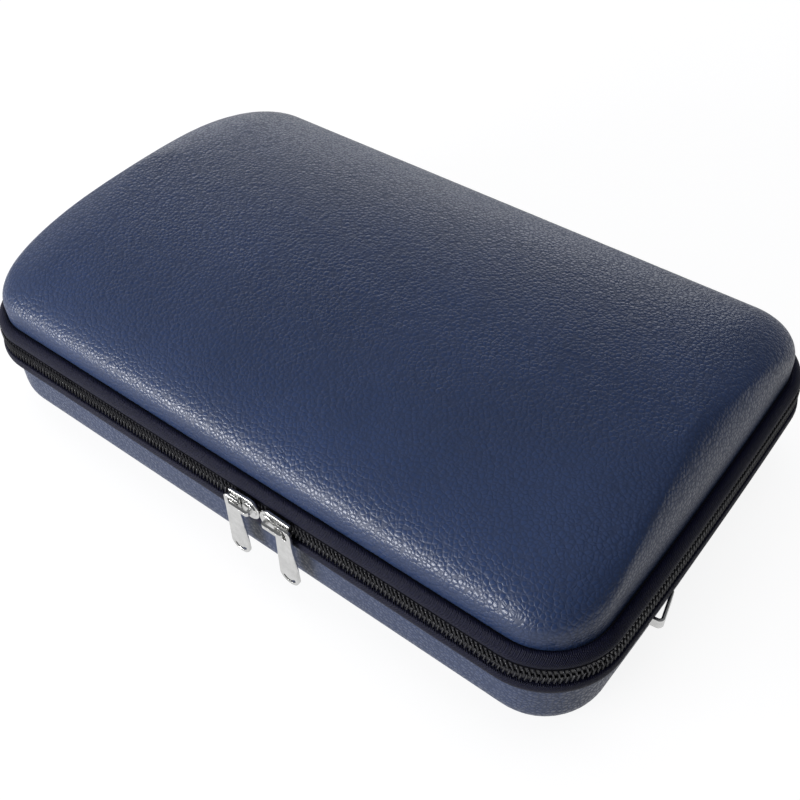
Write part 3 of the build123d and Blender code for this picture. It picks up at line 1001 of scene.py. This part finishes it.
class CASE_OT_fit_sliders(bpy.types.Operator):
    """Fit the sliders, their pulls and the chain's stops"""

    bl_idname = "clarinet_case.fit_sliders"
    bl_label = "Sliders and pulls"

    def model_head(self, slider):
        """The round raised head over a slider's nose, with a rim round a shallow dish."""
        corners = [slider.matrix_world @ Vector(corner) for corner in slider.bound_box]
        low, high = min(corner.x for corner in corners), max(corner.x for corner in corners)
        if low > SLIDERS_MEET_X - MM:
            middle = low + HEAD_BEHIND_NOSE
        else:
            middle = high - HEAD_BEHIND_NOSE
        plate_y = -OUTLINE_WIDTH / 2 - SLIDER_FACE_OUTSET
        clear_selection()
        bpy.ops.mesh.primitive_cylinder_add(
            vertices=HEAD_SIDES,
            radius=HEAD_RADIUS,
            depth=2 * HEAD_HEIGHT,
            location=(middle, plate_y, SEAM_HEIGHT),
            rotation=(math.radians(90), 0, 0),
        )
        head = bpy.context.object
        for face in head.data.polygons:
            face.select = face.normal.z > 0.9
        bpy.ops.object.mode_set(mode="EDIT")
        bpy.ops.mesh.inset(thickness=HEAD_RIM, depth=0)
        bpy.ops.mesh.inset(thickness=0.5 * HEAD_RIM, depth=-0.6 * HEAD_HEIGHT)
        bpy.ops.object.mode_set(mode="OBJECT")
        round_edges(head, 0.3 * MM, 3, math.radians(25))
        pick(slider)
        head.select_set(True)
        bpy.ops.object.join()

    def execute(self, context):
        nickel = nickel_material()
        for side in ("left", "right"):
            for kind, width in (("slider", 0.28 * MM), ("pull", 0.3 * MM)):
                node = f"{kind}_{side}"
                piece = copy_node(node, node + "_plated")
                dissolve_flat(piece)
                round_edges(piece, width, 3, math.radians(35))
                if kind == "slider":
                    self.model_head(piece)
                put_in_place(piece, nickel, "nickel", node, node)
        piece = copy_node("chain_stops", "chain_stops_plated")
        dissolve_flat(piece)
        round_edges(piece, 0.25 * MM, 2, math.radians(35))
        put_in_place(piece, nickel, "nickel", "base", "chain_stops")
        return {"FINISHED"}


class CASE_OT_fix_loops(bpy.types.Operator):
    """Fix the strap loops on the end walls, with the plates behind them"""

    bl_idname = "clarinet_case.fix_loops"
    bl_label = "Strap loops"

    def execute(self, context):
        nickel = nickel_material()
        for side in ("left", "right"):
            node = "strap_loop_" + side
            piece = copy_node(node, node + "_plated")
            dissolve_flat(piece)
            round_edges(piece, 0.45 * MM, 3, math.radians(35))
            put_in_place(piece, nickel, "nickel", "base", node)
            dress_node("loop_plate_" + side, zinc_material())
        return {"FINISHED"}


class CASE_OT_line_inside(bpy.types.Operator):
    """Line the inside with plush over the foam blocks"""

    bl_idname = "clarinet_case.line_inside"
    bl_label = "Plush and foam"

    def execute(self, context):
        plush = plush_material()
        for body in ("base", "lid"):
            node = body + "_lining"
            piece = copy_node(node, body + "_plush")
            dissolve_flat(piece)
            round_edges(piece, 0.9 * MM, 3, math.radians(40))
            put_in_place(piece, plush, "plush", body, node)
            dress_node(body + "_foam", foam_material(*SOFT_FOAM))
            dress_node(body + "_shell", foam_material(*MOULDED_FOAM))
        return {"FINISHED"}


class CASE_OT_set_stage(bpy.types.Operator):
    """Set the white floor, the soft lamps and the camera"""

    bl_idname = "clarinet_case.set_stage"
    bl_label = "Stage"

    def lay_floor(self):
        clear_selection()
        bpy.ops.mesh.primitive_plane_add(size=6, location=(0, 0, -0.0002))
        floor = bpy.context.object
        floor.name = "floor"
        material = bpy.data.materials.new("White table")
        material.use_nodes = True
        tree = material.node_tree
        tree.nodes.clear()
        output = tree.nodes.new("ShaderNodeOutputMaterial")
        diffuse = add_node(tree, "ShaderNodeBsdfDiffuse", in_Color=(0.5, 0.505, 0.52, 1))
        path = tree.nodes.new("ShaderNodeLightPath")
        camera_ray, glossy_ray = path.outputs["Is Camera Ray"], path.outputs["Is Glossy Ray"]
        more = FLOOR_GLOW_SEEN - FLOOR_GLOW_REFLECTED
        level = math_node(tree, "MULTIPLY_ADD", camera_ray, more, FLOOR_GLOW_REFLECTED)
        glow = add_node(tree, "ShaderNodeEmission", [("Strength", level)], in_Color=(1, 1, 1, 1))
        soft = add_node(tree, "ShaderNodeBsdfDiffuse", in_Color=(0.15, 0.15, 0.155, 1))
        both = add_node(tree, "ShaderNodeAddShader", [(0, glow.outputs[0]), (1, soft.outputs[0])])
        seen = math_node(tree, "MAXIMUM", camera_ray, glossy_ray)
        mix = add_node(
            tree,
            "ShaderNodeMixShader",
            [(0, seen), (1, diffuse.outputs[0]), (2, both.outputs[0])],
        )
        tree.links.new(mix.outputs[0], output.inputs["Surface"])
        floor.data.materials.append(material)

    def light_world(self):
        world = bpy.data.worlds.new("Studio")
        bpy.context.scene.world = world
        world.use_nodes = True
        tree = world.node_tree
        tree.nodes.clear()
        output = tree.nodes.new("ShaderNodeOutputWorld")
        room = add_node(
            tree, "ShaderNodeBackground", in_Color=ROOM_COLOUR, in_Strength=ROOM_STRENGTH
        )
        white = add_node(
            tree, "ShaderNodeBackground", in_Color=(1, 1, 1, 1), in_Strength=1.0
        )
        path = tree.nodes.new("ShaderNodeLightPath")
        mix = add_node(
            tree,
            "ShaderNodeMixShader",
            [(0, path.outputs["Is Camera Ray"]), (1, room.outputs[0]), (2, white.outputs[0])],
        )
        tree.links.new(mix.outputs[0], output.inputs["Surface"])

    def hang_lamp(self, name, place, target, size, power, colour, reflected):
        lamp = bpy.data.lights.new(name, "AREA")
        lamp.shape = "RECTANGLE"
        lamp.size, lamp.size_y = size
        lamp.energy = power
        lamp.color = colour
        holder = bpy.data.objects.new(name, lamp)
        bpy.context.scene.collection.objects.link(holder)
        aim = Vector(target) - Vector(place)
        turn = aim.to_track_quat("-Z", "Y").to_matrix().to_4x4()
        holder.matrix_world = Matrix.Translation(place) @ turn
        holder.visible_glossy = reflected

    def place_camera(self, values):
        azimuth, elevation = values.azimuth, values.elevation
        back = Vector(
            (
                math.sin(azimuth) * math.cos(elevation),
                -math.cos(azimuth) * math.cos(elevation),
                math.sin(elevation),
            )
        )
        right = Vector((math.cos(azimuth), math.sin(azimuth), 0))
        up = back.cross(right)
        turned_right = math.cos(values.roll) * right + math.sin(values.roll) * up
        turned_up = -math.sin(values.roll) * right + math.cos(values.roll) * up
        camera = bpy.data.cameras.new("camera")
        camera.lens = values.lens
        camera.sensor_width = CAMERA_SENSOR
        camera.shift_x, camera.shift_y = CAMERA_SHIFT
        camera.clip_start, camera.clip_end = CAMERA_CLIP
        holder = bpy.data.objects.new("camera", camera)
        bpy.context.scene.collection.objects.link(holder)
        axes = Matrix((turned_right, turned_up, back)).transposed().to_4x4()
        holder.matrix_world = Matrix.Translation(values.camera_place) @ axes
        bpy.context.scene.camera = holder

    def execute(self, context):
        self.lay_floor()
        self.light_world()
        for lamp in LAMPS:
            self.hang_lamp(*lamp)
        self.place_camera(context.scene.case_stage)
        context.scene.view_settings.view_transform = "Standard"
        return {"FINISHED"}


OPERATORS = (
    CASE_OT_cover_shells,
    CASE_OT_lay_bands,
    CASE_OT_wind_coils,
    CASE_OT_sew_tapes,
    CASE_OT_join_hinge,
    CASE_OT_fit_sliders,
    CASE_OT_fix_loops,
    CASE_OT_line_inside,
    CASE_OT_set_stage,
)


class CASE_PT_panel(bpy.types.Panel):
    """Sizes, colours and steps of the clarinet case"""

    bl_label = "Clarinet Case"
    bl_idname = "CASE_PT_panel"
    bl_space_type = "VIEW_3D"
    bl_region_type = "UI"
    bl_category = "Clarinet Case"

    def draw(self, context):
        for name, group in SETTINGS.items():
            box = self.layout.box()
            for label in group.__annotations__:
                box.prop(getattr(context.scene, name), label)
        for operator in OPERATORS:
            self.layout.operator(operator.bl_idname)


def register():
    for name, group in SETTINGS.items():
        bpy.utils.register_class(group)
        setattr(bpy.types.Scene, name, bpy.props.PointerProperty(type=group))
    for operator in OPERATORS:
        bpy.utils.register_class(operator)
    bpy.utils.register_class(CASE_PT_panel)


def unregister():
    bpy.utils.unregister_class(CASE_PT_panel)
    for operator in reversed(OPERATORS):
        bpy.utils.unregister_class(operator)
    for name, group in SETTINGS.items():
        delattr(bpy.types.Scene, name)
        bpy.utils.unregister_class(group)


def main():
    register()
    for operator in OPERATORS:
        getattr(bpy.ops.clarinet_case, operator.bl_idname.split(".")[1])()


if __name__ == "__main__":
    main()
